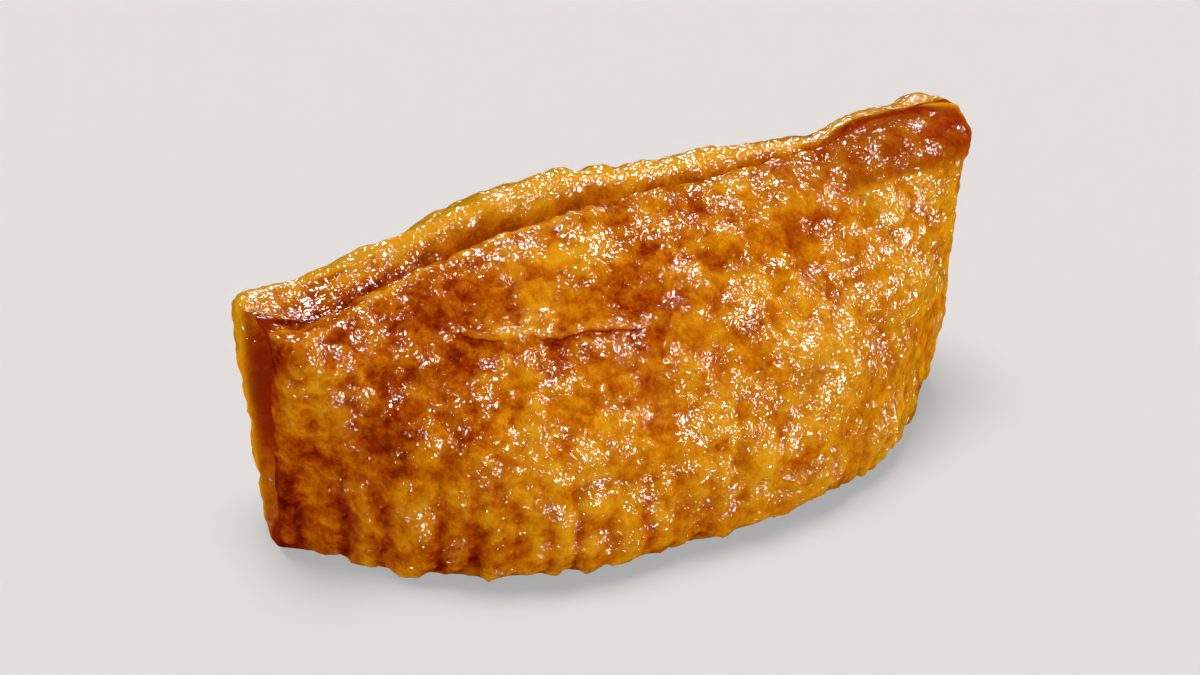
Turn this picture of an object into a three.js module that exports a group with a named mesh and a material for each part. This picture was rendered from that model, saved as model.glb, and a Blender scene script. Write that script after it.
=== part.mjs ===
// Inari sushi: a pouch of seasoned fried tofu, filled with rice and set down on its folded mouth.
// Millimetres. +X runs along the closed edge, the fuller face looks toward -Y and +Z is up.
// The origin is the middle of the underside.
import * as THREE from "three";
import { ParametricGeometry } from "three/addons/geometries/ParametricGeometry.js";
import { mergeGeometries, mergeVertices } from "three/addons/utils/BufferGeometryUtils.js";

// ---- Driving dimensions, in millimetres. ----
// A value that changes along the pouch is given at its left end, middle and right end.
const LENGTH = 78.8;
const CREST_HEIGHT = { left: 25.1, middle: 29.0, right: 28.5 };
const CREASE_DEPTH = { left: 1.8, middle: 3.6, right: 2.2 }; // of the fold between the two lips
const CREASE_CLOSED = { from: 0.62, full: 0.86 }; // stations where the lips come to be pressed together
const LIP_DROP = { left: 1.2, middle: 0.4, right: 1.0 }; // from a lip's crest to its face
const LIP_CREST = { left: 0.8, middle: 0.5, right: 0.5 }; // share of a lip's depth where it is highest
const END_RADIUS = 2.7; // how far the rim of an end rolls in
const BOTTOM_RADIUS = 3; // of the roll from a face to the underside
const BOTTOM_TUCK = 0.9; // the most of its depth that this roll takes where the pouch is thin
const RIGHT_CORNER = { lift: 1.6, from: 0.6, full: 0.85 }; // the raised end of the closed edge
const LIP_CORNER = { from: 0.45, full: 0.75 }; // stations where a lip's own corner rises or falls
const BACK_HUMP = { height: 2.4, station: -0.29, width: 0.35 }; // where rice lifts the back lip

// Depth of each panel, outward from the closed edge, and how its lip ends at each corner.
const FRONT = {
  outward: -1,
  lip: { left: 3.9, middle: 3.1, right: 3.4 },
  belly: 22.7,
  rimTop: { left: 7.6, right: 7.3 },
  rimBottom: { left: 4.8, right: 8.5 },
  corner: { left: 0, right: 0.3 },
  hump: 0,
};
const BACK = {
  outward: 1,
  lip: { left: 4.2, middle: 4.0, right: 2.2 },
  belly: 17.8,
  rimTop: { left: 7.3, right: 4.6 },
  rimBottom: { left: 2.0, right: 8.0 },
  corner: { left: -1.3, right: -0.7 },
  hump: BACK_HUMP.height,
};

// Each end leans in toward the underside. The left one swells a little halfway up, and its foot stands
// `forward`, toward the fuller face. An end is hollow between its rims: the hollow deepens above `foot`
// and starts to close at `top`, as shares of the height.
const LEFT_END = { leanIn: 0.6, swell: 0.3, forward: 2, hollow: 4.0, foot: 0.02, top: 0.8 };
const RIGHT_END = { leanIn: 3.4, swell: 0, forward: 0, hollow: 2.5, foot: 0.02, top: 0.65 };
const HOLLOW_RISE = 0.2; // share of the height over which it deepens and closes

// The plan is a rounded boat and each face swells like a taut bag.
const PLAN_SQUARENESS = 3.0;
const PLAN_FULLNESS = 0.95;
const FACE_SWELL = 2.5;
const RIM_CHANGE = 0.4; // stations to each side of the middle where the rims change in depth

// The folded mouth leaves a seam along the underside.
const SEAM = { depth: 1.2, width: 1.6, full: 0.4 };

// Relief of the skin: rice under it, blisters from frying, pleats at the mouth and single wrinkles.
const LUMP = { height: 0.6, size: 10 };
const BLISTER = { height: 1.1, size: 4.4, level: 0.3 };
const FOOT_CALM = { share: 0.5, low: 1.5, high: 8 }; // the share of both that is left at the foot
const PLEAT = { pitch: 3.3, level: 0.6, full: 6 };
const PLEAT_DEPTH = { left: 0.8, middle: 0.3, right: 0.15 };
const PLEAT_WANDER = { reach: 1.4, size: 7, slice: 40 };
const PLEAT_TOP = { height: 15, reach: 4, size: 6, slice: 60 };
const TAB = { rise: 0.6, from: 14, to: 24, low: 14, high: 15.2 };
// A wrinkle runs between two places, each given along the pouch and up the slant of its face.
const WRINKLES = {
  front: [
    { from: [-35, 13.2], to: [-20, 11.1], width: 1.4, depth: 0.6 },
    { from: [-20, 11.1], to: [-1, 9.5], width: 1.3, depth: 0.6 },
    { from: [-30.5, 4.8], to: [-20.4, 8.8], width: 1.7, depth: 0.8 },
    { from: [-28, -3], to: [-25, -14], width: 1.8, depth: 0.7 },
    { from: [-4.5, -8], to: [-2.5, -14], width: 1.4, depth: 0.6 },
  ],
  back: [
    { from: [-24, 9], to: [6, 11], width: 1.5, depth: 0.6 },
    { from: [10, 4], to: [26, 8], width: 1.7, depth: 0.7 },
    { from: [-12, -4], to: [-16, -12], width: 1.6, depth: 0.6 },
  ],
};

// ---- The grid of one panel: across from end to end, and down from the closed edge to the seam. ----
const ACROSS = 72;
const DOWN = 40;
const END_SHARE = 0.14; // of the half length, for the roll of an end
const LIP_END = 0.2; // share of the way down where the lip has rolled over
const FACE_END = 0.7;
const BOTTOM_END = 0.85;
// Where the relief fades, as shares of an end, of a lip and of the roll at the bottom.
const RELIEF_FADE = { hollow: 0.4, rim: 0.9, crease: 0.1, lip: 0.5, bottom: 0.45 };
const MERGE_TOLERANCE = 1e-3;

const HALF_LENGTH = LENGTH / 2;
const QUARTER_TURN = Math.PI / 2;

const clamp01 = (value) => Math.min(Math.max(value, 0), 1);
const mix = (from, to, share) => from + (to - from) * share;

// 0 at and before `from`, 1 at and after `to`, with a smooth rise between.
function ease(from, to, value) {
  const share = clamp01((value - from) / (to - from));
  return share * share * (3 - 2 * share);
}

// A dimension at a station of the length, from -1 at the left end to 1 at the right one.
function along({ left, middle, right }, station) {
  const reach = station * station;
  return mix(middle, station < 0 ? left : right, reach);
}

// A rolled border: `turn` goes from -90 degrees in the fold, over the crest at 0, to 90 on the face.
const borderTurn = (share) => (clamp01(share) * 2 - 1) * QUARTER_TURN;
const borderReach = (turn) => (1 + (turn < 0 ? turn / QUARTER_TURN : Math.sin(turn))) / 2;

// The share of its depth that a lip has reached, with its crest at the share `crest`.
function lipReach(turn, crest) {
  const share = turn / QUARTER_TURN;
  return turn < 0 ? crest * (1 + share) : mix(crest, 1, share);
}

// ---- The smooth pouch. ----

function crestHeight(station) {
  const corner = RIGHT_CORNER.lift * ease(RIGHT_CORNER.from, RIGHT_CORNER.full, station);
  return along(CREST_HEIGHT, station) + corner;
}

function humpHeight(panel, station) {
  const offset = (station - BACK_HUMP.station) / BACK_HUMP.width;
  return panel.hump * Math.exp(-offset * offset) * (1 - station * station);
}

function cornerHeight(panel, station) {
  const corner = station < 0 ? panel.corner.left : panel.corner.right;
  return corner * ease(LIP_CORNER.from, LIP_CORNER.full, Math.abs(station));
}

function creaseDepth(station) {
  return along(CREASE_DEPTH, station) * (1 - ease(CREASE_CLOSED.from, CREASE_CLOSED.full, station));
}

// The height of the skin at a share of the way down. The crease and the corners run out at the
// middle of an end, where `inward` is 0.
function skinHeight(panel, station, inward, down) {
  const crease = crestHeight(station) - creaseDepth(station) * inward;
  const lift = humpHeight(panel, station) + cornerHeight(panel, station) * inward;
  const crest = crestHeight(station) + lift;
  const drop = along(LIP_DROP, station);
  if (down <= LIP_END) {
    const turn = borderTurn(down / LIP_END);
    const outside = crest - drop * (turn / QUARTER_TURN) ** 2;
    return turn < 0 ? mix(crease, crest, Math.cos(turn)) : outside;
  }
  if (down <= FACE_END) {
    return mix(crest - drop, BOTTOM_RADIUS, (down - LIP_END) / (FACE_END - LIP_END));
  }
  const turn = clamp01((down - FACE_END) / (BOTTOM_END - FACE_END)) * QUARTER_TURN;
  return BOTTOM_RADIUS * (1 - Math.sin(turn));
}

// The depth of the skin from the closed edge's plane, before the ends roll in.
function skinDepth(panel, station, down) {
  const side = ease(-RIM_CHANGE, RIM_CHANGE, station);
  const rimTop = mix(panel.rimTop.left, panel.rimTop.right, side);
  const rimBottom = mix(panel.rimBottom.left, panel.rimBottom.right, side);
  const bulge = (1 - Math.abs(station) ** PLAN_SQUARENESS) ** PLAN_FULLNESS;
  const lip = along(panel.lip, station);
  if (down <= LIP_END) {
    const crest = along(LIP_CREST, station);
    return mix(rimTop, lip, bulge) * lipReach(borderTurn(down / LIP_END), crest);
  }
  const fall = clamp01((down - LIP_END) / (FACE_END - LIP_END));
  const face = mix(lip, panel.belly, 1 - (1 - fall) ** FACE_SWELL);
  const depth = mix(mix(rimTop, rimBottom, fall), face, bulge);
  if (down <= FACE_END) return depth;
  const turn = clamp01((down - FACE_END) / (BOTTOM_END - FACE_END)) * QUARTER_TURN;
  const underside = clamp01((down - BOTTOM_END) / (1 - BOTTOM_END));
  const radius = Math.min(BOTTOM_RADIUS, BOTTOM_TUCK * depth);
  return (depth - radius * (1 - Math.cos(turn))) * (1 - underside);
}

// Where an end stands at a share of the height, measured from the middle of the pouch.
function endReach(end, rise) {
  return HALF_LENGTH - end.leanIn * (1 - rise) + end.swell * 4 * rise * (1 - rise);
}

// How deep an end's hollow is there.
function hollowDepth(end, rise) {
  const opened = ease(end.foot, end.foot + HOLLOW_RISE, rise);
  const closed = ease(end.top, end.top + HOLLOW_RISE, rise);
  return end.hollow * opened * (1 - closed);
}

// 0 on the crease and on the seam, and 1 from the lip's crest to the underside's rim.
function openness(down) {
  const fromCrease = 2 * borderReach(borderTurn(down / LIP_END));
  return Math.min(fromCrease, 1, (1 - down) / (1 - BOTTOM_END));
}

// The point of a panel at `across` from -1 to 1 and `down` from 0 to 1.
function pouchPoint(panel, across, down, target) {
  const station = THREE.MathUtils.clamp(across / (1 - END_SHARE), -1, 1);
  const end = across < 0 ? LEFT_END : RIGHT_END;
  const turn = borderTurn((1 - Math.abs(across)) / END_SHARE);
  const height = skinHeight(panel, station, borderReach(turn), down);
  const rise = clamp01(height / crestHeight(station));
  const reach = endReach(end, rise);
  const hollow = hollowDepth(end, rise);
  const inset = turn < 0 ? hollow * Math.sin(turn) ** 2 : END_RADIUS * (1 - Math.cos(turn));
  const rolled =
    Math.abs(station) < 1 ? station * (reach - END_RADIUS) : Math.sign(across) * (reach - inset);
  const x = mix(across * (reach - hollow), rolled, openness(down));
  const depth = skinDepth(panel, station, down) * borderReach(turn);
  const forward = end.forward * (1 - rise) * station * station;
  return target.set(x, panel.outward * depth - forward, height);
}

// ---- The relief, as a distance out of the smooth skin. ----

// A repeatable value from -1 to 1 for each corner of a lattice of unit cubes.
function cornerValue(i, j, k) {
  let bits = Math.imul(i, 73856093) ^ Math.imul(j, 19349663) ^ Math.imul(k, 83492791);
  bits = Math.imul(bits ^ (bits >>> 15), 2246822519);
  bits = Math.imul(bits ^ (bits >>> 13), 3266489917);
  return ((bits ^ (bits >>> 16)) >>> 0) / 2147483648 - 1;
}

// Smooth noise from -1 to 1: the corner values of the cube round a place, blended by their nearness.
function noise(x, y, z) {
  const [i, j, k] = [x, y, z].map(Math.floor);
  const [u, v, w] = [x - i, y - j, z - k].map((share) => ease(0, 1, share));
  const edge = (b, c) => mix(cornerValue(i, j + b, k + c), cornerValue(i + 1, j + b, k + c), u);
  return mix(mix(edge(0, 0), edge(1, 0), v), mix(edge(0, 1), edge(1, 1), v), w);
}

// A slow change over the plan, of at most `reach` either way.
function drift({ reach, size, slice }, point) {
  return reach * noise(point.x / size, point.y / size, slice);
}

// Round pleats with sharp valleys between them, strongest at the mouth and gone halfway up.
function pleatRelief(point, across) {
  const place = across * HALF_LENGTH + drift(PLEAT_WANDER, point);
  const lobe = Math.abs(Math.sin((Math.PI * place) / PLEAT.pitch)) - PLEAT.level;
  const top = PLEAT_TOP.height + drift(PLEAT_TOP, point);
  return along(PLEAT_DEPTH, across) * lobe * ease(top, PLEAT.full, point.z);
}

// A trough along a straight wrinkle, with a soft section.
function wrinkleRelief({ from, to, width, depth }, place) {
  const start = new THREE.Vector2(...from);
  const run = new THREE.Vector2(...to).sub(start);
  const share = clamp01(place.clone().sub(start).dot(run) / run.lengthSq());
  const offset = place.distanceTo(start.addScaledVector(run, share)) / width;
  return -depth * Math.exp(-offset * offset);
}

function skinRelief(panel, point, across) {
  const front = panel === FRONT;
  const slant = (point.z - Math.abs(point.y)) / Math.SQRT2;
  const place = new THREE.Vector2(point.x, slant);
  const lumps = noise(point.x / LUMP.size, point.y / LUMP.size, point.z / LUMP.size);
  const blisters = noise(point.x / BLISTER.size, point.y / BLISTER.size, point.z / BLISTER.size);
  const calm = mix(FOOT_CALM.share, 1, ease(FOOT_CALM.low, FOOT_CALM.high, point.z));
  let relief = calm * (LUMP.height * lumps + BLISTER.height * (Math.abs(blisters) - BLISTER.level));
  relief += pleatRelief(point, across);
  for (const wrinkle of front ? WRINKLES.front : WRINKLES.back) {
    relief += wrinkleRelief(wrinkle, place);
  }
  if (front) relief += TAB.rise * ease(TAB.from, TAB.to, point.x) * ease(TAB.low, TAB.high, slant);
  return relief;
}

// The relief fades out in the top crease, in the hollows of the ends and on the underside.
function reliefShare(across, down) {
  const { hollow, rim, crease, lip, bottom } = RELIEF_FADE;
  const fromEnd = ease(hollow, rim, (1 - Math.abs(across)) / END_SHARE);
  const fromCrease = ease(crease, lip, down / LIP_END);
  const tucked = ease(mix(FACE_END, BOTTOM_END, bottom), BOTTOM_END, down);
  return fromEnd * fromCrease * (1 - tucked);
}

// How far the seam lifts the underside, which is otherwise flat. It runs out before the ends.
function seamLift(point, across, down) {
  const offset = point.y / SEAM.width;
  const share = ease(BOTTOM_END, mix(BOTTOM_END, 1, SEAM.full), down);
  const fromEnd = ease(END_SHARE, 2 * END_SHARE, 1 - Math.abs(across));
  return SEAM.depth * Math.exp(-offset * offset) * share * fromEnd;
}

// ---- The mesh. ----

// One panel as a grid whose `relief` attribute holds each point's distance out of the smooth skin.
function panelGeometry(panel) {
  const gridAcross = (u) => panel.outward * (2 * u - 1); // the direction that turns the faces outward
  const geometry = new ParametricGeometry(
    (u, v, target) => pouchPoint(panel, gridAcross(u), v, target),
    ACROSS,
    DOWN,
  );
  const position = geometry.getAttribute("position");
  const uv = geometry.getAttribute("uv");
  const relief = new Float32Array(position.count);
  const point = new THREE.Vector3();
  for (let i = 0; i < position.count; i++) {
    point.fromBufferAttribute(position, i);
    const across = gridAcross(uv.getX(i));
    const down = uv.getY(i);
    relief[i] = skinRelief(panel, point, across) * reliefShare(across, down);
    position.setZ(i, point.z + seamLift(point, across, down));
  }
  geometry.deleteAttribute("normal");
  geometry.deleteAttribute("uv");
  geometry.setAttribute("relief", new THREE.BufferAttribute(relief, 1));
  return geometry;
}

// The same mesh without the triangles that merging has left with two corners in one place.
function withoutSlivers(geometry) {
  const index = geometry.index.array;
  const kept = [];
  for (let i = 0; i < index.length; i += 3) {
    const [a, b, c] = index.slice(i, i + 3);
    if (a !== b && b !== c && c !== a) kept.push(a, b, c);
  }
  geometry.setIndex(kept);
  return geometry;
}

// The two panels are joined along the crease, the ends and the seam, and then get their relief.
function pouchGeometry() {
  const panels = mergeGeometries([panelGeometry(FRONT), panelGeometry(BACK)]);
  const geometry = withoutSlivers(mergeVertices(panels, MERGE_TOLERANCE));
  geometry.computeVertexNormals();
  const position = geometry.getAttribute("position");
  const normal = geometry.getAttribute("normal");
  const relief = geometry.getAttribute("relief");
  const point = new THREE.Vector3();
  const outward = new THREE.Vector3();
  for (let i = 0; i < position.count; i++) {
    outward.fromBufferAttribute(normal, i);
    point.fromBufferAttribute(position, i).addScaledVector(outward, relief.getX(i));
    position.setXYZ(i, point.x, point.y, Math.max(point.z, 0));
  }
  geometry.deleteAttribute("relief");
  geometry.computeVertexNormals();
  geometry.computeBoundingBox();
  const middle = geometry.boundingBox.getCenter(new THREE.Vector3());
  return geometry.translate(-middle.x, -middle.y, -geometry.boundingBox.min.z);
}

// ---- The object. ----

const friedTofu = new THREE.MeshStandardMaterial({
  name: "fried_tofu",
  color: 0xbe7428,
  roughness: 0.32,
  metalness: 0,
});

const pouch = new THREE.Mesh(pouchGeometry(), friedTofu);
pouch.name = "tofu_pouch";

const group = new THREE.Group();
group.name = "inari_sushi";
group.add(pouch);

export default group;
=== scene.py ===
"""Inari sushi: a glossy, wrinkled pouch of seasoned fried tofu, standing on its folded mouth.

The shape is worked out in millimetres, with +X along the closed edge and +Z up, and each mesh is
put into Blender in metres.
"""

import itertools
import math

import bpy
import numpy as np
from mathutils import Matrix, Vector


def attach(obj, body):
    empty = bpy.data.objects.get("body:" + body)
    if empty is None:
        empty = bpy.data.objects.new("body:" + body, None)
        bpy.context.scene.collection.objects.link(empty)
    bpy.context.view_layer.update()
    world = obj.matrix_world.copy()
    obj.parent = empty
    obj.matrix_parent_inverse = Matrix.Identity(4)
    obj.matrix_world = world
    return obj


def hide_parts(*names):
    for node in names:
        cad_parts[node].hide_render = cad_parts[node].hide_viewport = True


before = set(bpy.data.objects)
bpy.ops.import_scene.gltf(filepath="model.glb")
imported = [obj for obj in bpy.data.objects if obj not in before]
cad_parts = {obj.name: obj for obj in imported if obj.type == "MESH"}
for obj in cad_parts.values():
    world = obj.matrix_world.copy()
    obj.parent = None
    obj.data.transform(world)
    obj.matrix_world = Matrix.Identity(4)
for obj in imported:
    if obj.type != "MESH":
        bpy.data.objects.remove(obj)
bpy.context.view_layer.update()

MM = 0.001
BODY = "root"
NODE = "tofu_pouch"

# ---- Camera. ----

CAMERA_TARGET = (-3.9, -2.95, 15.76)
CAMERA_DISTANCE = 381.4
CAMERA_AZIMUTH = 30.62
CAMERA_ELEVATION = 32.89
CAMERA_ROLL = -2.59
CAMERA_LENS = 114.3
CAMERA_SENSOR = 36.0


def add_camera():
    """The camera stands `CAMERA_DISTANCE` from its target, round by the azimuth and up by the elevation.

    Its picture is level with the horizon and then turned by the roll.
    """
    azimuth, elevation, roll = map(math.radians, (CAMERA_AZIMUTH, CAMERA_ELEVATION, CAMERA_ROLL))
    back = Vector((
        -math.sin(azimuth) * math.cos(elevation),
        -math.cos(azimuth) * math.cos(elevation),
        math.sin(elevation),
    ))
    level = Vector((math.cos(azimuth), -math.sin(azimuth), 0))
    upward = back.cross(level)
    right = math.cos(roll) * level - math.sin(roll) * upward
    top = back.cross(right)
    data = bpy.data.cameras.new("camera")
    data.lens = CAMERA_LENS
    data.sensor_width = CAMERA_SENSOR
    data.clip_start = 0.01
    data.clip_end = 20
    camera = bpy.data.objects.new("camera", data)
    turn = Matrix((right, top, back)).transposed().to_4x4()
    place = (Vector(CAMERA_TARGET) + back * CAMERA_DISTANCE) * MM
    camera.matrix_world = Matrix.Translation(place) @ turn
    bpy.context.scene.collection.objects.link(camera)
    bpy.context.scene.camera = camera


add_camera()

# ---- Sizes of the pouch, in millimetres, as its solid has them. ----
# A value that changes along the pouch is given at its left end, middle and right end.

LENGTH = 78.8
CREST_HEIGHT = {"left": 25.1, "middle": 29.0, "right": 28.5}
CREASE_DEPTH = {"left": 1.8, "middle": 3.6, "right": 2.2}
CREASE_CLOSED = {"start": 0.62, "full": 0.86}
LIP_DROP = {"left": 1.2, "middle": 0.4, "right": 1.0}
LIP_CREST = {"left": 0.8, "middle": 0.5, "right": 0.5}
END_RADIUS = 2.7
BOTTOM_RADIUS = 3.0
BOTTOM_TUCK = 0.9
RIGHT_CORNER = {"lift": 1.6, "start": 0.6, "full": 0.85}
LIP_CORNER = {"start": 0.45, "full": 0.75}
BACK_HUMP = {"height": 2.4, "station": -0.29, "width": 0.35}

FRONT = {
    "outward": -1,
    "lip": {"left": 3.9, "middle": 3.1, "right": 3.4},
    "belly": 22.7,
    "rim_top": {"left": 7.6, "right": 7.3},
    "rim_bottom": {"left": 4.8, "right": 8.5},
    "corner": {"left": 0.0, "right": 0.3},
    "hump": 0.0,
}
BACK = {
    "outward": 1,
    "lip": {"left": 4.2, "middle": 4.0, "right": 2.2},
    "belly": 17.8,
    "rim_top": {"left": 7.3, "right": 4.6},
    "rim_bottom": {"left": 2.0, "right": 8.0},
    "corner": {"left": -1.3, "right": -0.7},
    "hump": BACK_HUMP["height"],
}
# The foot of an end stands `forward`, toward the fuller face. Its hollow deepens above `foot` and
# starts to close at `top`, as shares of the height.
LEFT_END = {"lean_in": 0.6, "swell": 0.3, "forward": 2.0, "hollow": 4.0, "foot": 0.02, "top": 0.8}
RIGHT_END = {"lean_in": 3.4, "swell": 0.0, "forward": 0.0, "hollow": 2.5, "foot": 0.02, "top": 0.65}
HOLLOW_RISE = 0.2

PLAN_SQUARENESS = 3.0
PLAN_FULLNESS = 0.95
FACE_SWELL = 2.5
RIM_CHANGE = 0.4
SEAM = {"depth": 1.2, "width": 1.6, "full": 0.4}

LUMP = {"height": 0.6, "size": 10.0}
BLISTER = {"height": 1.1, "size": 4.4, "level": 0.3}
FOOT_CALM = {"share": 0.5, "low": 1.5, "high": 8.0}
PLEAT = {"pitch": 3.3, "level": 0.6, "full": 6.0}
PLEAT_DEPTH = {"left": 0.8, "middle": 0.3, "right": 0.15}
PLEAT_WANDER = {"reach": 1.4, "size": 7.0, "slice": 40.0}
PLEAT_TOP = {"height": 15.0, "reach": 4.0, "size": 6.0, "slice": 60.0}
TAB = {"rise": 0.6, "start": 14.0, "full": 24.0, "low": 14.0, "high": 15.2}
# A wrinkle runs between two places, each given along the pouch and up the slant of its face.
FRONT_WRINKLES = [
    {"start": (-35, 13.2), "stop": (-20, 11.1), "width": 1.4, "depth": 0.6},
    {"start": (-20, 11.1), "stop": (-1, 9.5), "width": 1.3, "depth": 0.6},
    {"start": (-30.5, 4.8), "stop": (-20.4, 8.8), "width": 1.7, "depth": 0.8},
    {"start": (-28, -3), "stop": (-25, -14), "width": 1.8, "depth": 0.7},
    {"start": (-4.5, -8), "stop": (-2.5, -14), "width": 1.4, "depth": 0.6},
]
BACK_WRINKLES = [
    {"start": (-24, 9), "stop": (6, 11), "width": 1.5, "depth": 0.6},
    {"start": (10, 4), "stop": (26, 8), "width": 1.7, "depth": 0.7},
    {"start": (-12, -4), "stop": (-16, -12), "width": 1.6, "depth": 0.6},
]

END_SHARE = 0.14
LIP_END = 0.2
FACE_END = 0.7
BOTTOM_END = 0.85
RELIEF_FADE = {"hollow": 0.4, "rim": 0.9, "crease": 0.1, "lip": 0.5, "bottom": 0.45}

HALF_LENGTH = LENGTH / 2
QUARTER_TURN = math.pi / 2

# ---- Fine relief that only the skin has, in millimetres. ----

# The crack of the front runs through these places, with a raised lip above it and a step under it.
CRACK = {
    "along": (-24.2, -22.3, -19.0, -16.3, -12.5, -8.3, -4.4, -2.1),
    "slant": (11.6, 10.6, 9.0, 8.3, 7.0, 6.8, 5.9, 5.9),
}
CRACK_WANDERS = [{"reach": 0.4, "size": 2.6}, {"reach": 0.3, "size": 0.9}]
CRACK_SLICE = 30.0
CRACK_END = 4.0
CRACK_LIP = {"height": 0.3, "above": 0.6, "width": 0.5}
CRACK_STEP = {"depth": 0.3, "below": 0.35, "width": 0.45}
# Folds of the back lip, each between two places along it and out from the crease over its crest. The
# way out is the share `down` of the panel taken `LIP_UNROLLED` times.
LIP_UNROLLED = 40.0
LIP_FOLDS = [
    {"start": (-16.4, 2.4), "stop": (-12.6, 3.2), "width": 0.5, "height": 0.6},
    {"start": (-13.6, 1.9), "stop": (-9.3, 3.3), "width": 0.55, "height": 0.7},
    {"start": (-10.6, 1.6), "stop": (-5.5, 3.3), "width": 0.55, "height": 0.6},
    {"start": (-37.0, 2.4), "stop": (-32.8, 3.2), "width": 0.45, "height": 0.45},
    {"start": (-34.0, 0.8), "stop": (-30.0, 1.3), "width": 0.5, "height": 0.45},
    {"start": (-31.0, 1.2), "stop": (-25.5, 2.0), "width": 0.45, "height": 0.45},
    {"start": (-30.0, 2.6), "stop": (-24.0, 3.2), "width": 0.45, "height": 0.4},
    {"start": (-25.0, 4.2), "stop": (-22.0, 4.2), "width": 1.4, "height": 0.9},
]
FRONT_FOLDS = [
    {"start": (-5.0, 9.9), "stop": (4.2, 10.6), "width": 0.45, "height": 0.3},
    {"start": (10.5, 13.6), "stop": (16.0, 14.2), "width": 0.4, "height": 0.3},
    {"start": (4.0, 12.0), "stop": (9.0, 13.4), "width": 0.5, "height": 0.3},
    {"start": (-33.0, 10.5), "stop": (-31.6, 6.5), "width": 0.4, "height": 0.35},
]
# A blister with a star of folds round its dome, and a pit.
STAR = {"place": (-5.9, 14.7), "radius": 1.7, "dome": 0.5, "fold": 0.22, "folds": 7, "spread": 1.02}
PIT = {"place": (-16.0, 10.9), "radius": 0.7, "depth": 0.7}
# The mouth's edge is ragged just over the surface that the pouch rests on.
RAGGED = {"height": 0.35, "size": 1.7, "low": 0.3, "high": 2.5, "slice": 90, "power": 0.7}
# Puffs and grains are domes over scattered centres and ridges are crooked lines, all moved by a warp.
# Each `shift` reads the noise at another place. Calm patches have less of all this.
WARP = {"reach": 0.9, "size": 3.1, "shift": 19}
PUFF = {"height": 0.32, "size": 2.5}
GRAIN = {"height": 0.15, "size": 1.15, "shift": 40}
RIDGE = {"height": 0.25, "size": 1.9, "shift": 80}
DOME_LEVEL = 0.45
DOME_FALL = 1.3
RIDGE_FALL = 2.6
CALM = {"least": 0.55, "reach": 0.6, "size": 6.0, "shift": 60}
FINE_FADE = {"hollow": 0.15, "rim": 0.65, "crease": 0.0, "lip": 0.3, "bottom": 0.45}

# ---- Browns, reds, painted shade and light, a painted glow, and wetness of the skin. ----
# A stretch says where something comes in, from its first value to its second: along the pouch, up the
# slant of a face or in height, in millimetres. Over a lip it is in shares of the way from the crease
# to the face, and over an end in shares of the way from the hollow to the face.

# Spots of the front: a place along and up the slant, a reach both ways, and how brown they are, or
# how pale where that is below 0. They are partly the skin's own stains and partly painted shade and
# painted light.
STAINS_SHADE_AND_LIGHT = [
    {"place": (-18, 12.8), "reach": (6, 1.6), "brown": 0.35},
    {"place": (-23, 9.0), "reach": (2.2, 4.0), "brown": 0.35},
    {"place": (-3.5, 11.0), "reach": (2.0, 3.0), "brown": 0.35},
    {"place": (-30, 4.0), "reach": (1.6, 4.0), "brown": 0.5},
    {"place": (14.5, 11.6), "reach": (7, 1.6), "brown": 0.7},
    {"place": (-5.5, 10.5), "reach": (1.4, 2.5), "brown": 0.6},
    {"place": (6.5, 16.3), "reach": (3, 0.7), "brown": 0.8},
    {"place": (-10.8, 15.8), "reach": (4, 1.4), "brown": -0.7},
    {"place": (-5.9, 14.6), "reach": (2.0, 2.2), "brown": -0.9},
    {"place": (-15, 10.4), "reach": (3.5, 1.3), "brown": -0.6},
    {"place": (2, -4), "reach": (4, 3), "brown": -0.5},
    {"place": (-36, 10), "reach": (2, 4), "brown": -0.3},
    {"place": (24, -6), "reach": (9, 7), "brown": -0.2},
    {"place": (-14, 4.5), "reach": (8, 3.5), "brown": 0.25},
    {"place": (-4, 7.5), "reach": (9, 3.5), "brown": 0.5},
    {"place": (-29, -3.5), "reach": (4, 3), "brown": -0.9},
    {"place": (-36, -5), "reach": (2.2, 4), "brown": 1.1},
    {"place": (4, -11), "reach": (9, 4), "brown": -0.35},
    {"place": (-2, 1), "reach": (8, 6), "brown": 0.2},
    {"place": (12, -7), "reach": (6, 4), "brown": -0.3},
]

# Painted shade and light of the pleats: how much browner each millimetre of a pleat's valley is at
# the left and how much paler each millimetre of its crest, and the share `past` of that which is
# left past the stretch along.
PLEAT_SHADE = {"brown": 1.4, "along": (-15, 5), "past": 0.3}
# The rest of the browns: painted shade in the crease and the left hollow, painted shade toward the
# left end and painted light toward the right end, and the rest. `low` and `high` are values at the
# two heights of the left hollow.
CREASE_SHADE = (0.3, 0.16)
HOLLOW_HEIGHTS = (6, 14)
FRONT_HOLLOW_SHADE = {"low": {"brown": 1.3, "end": (0.4, 1.0)}, "high": {"brown": 1.3, "end": (0.3, 0.75)}}
BACK_HOLLOW_SHADE = {"low": {"brown": 0.1, "end": (0.15, 0.55)}, "high": {"brown": 1.3, "end": (0.3, 0.55)}}
LEFT_SIDE_SHADE = {"brown": 0.45, "along": (-14, -34)}
RIGHT_SIDE_LIGHT = {"brown": -0.3, "along": (6, 30)}
TAB_END = {"brown": 0.5, "along": (25, 34)}
FRONT_CREST = {"brown": -0.9, "lip": 0.55, "width": 0.15, "along": (0, -10)}
UNDER_LIP = {"brown": 0.4, "slant": (11, 14), "along": (12, -2)}
BACK_LIP = {"brown": -1.7, "lip": (0.28, 0.4), "face": (1.5, 1)}
VALLEY = {"brown": 0.5, "lip": (0.5, 0.4), "along": (-20, -28)}

# Where the skin is reddish: the right tab, the back under the tab's edge, and the left hollow, where
# the red is part of its painted shade.
RED_HOLLOW_SHADE = (0.55, 0.35)
RED_ALONG = (12, 26)
RED_FRONT_SLANTS = [(13.4, 14.8)]
RED_BACK_SLANTS = [(19, 16), (6, 12)]
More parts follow.
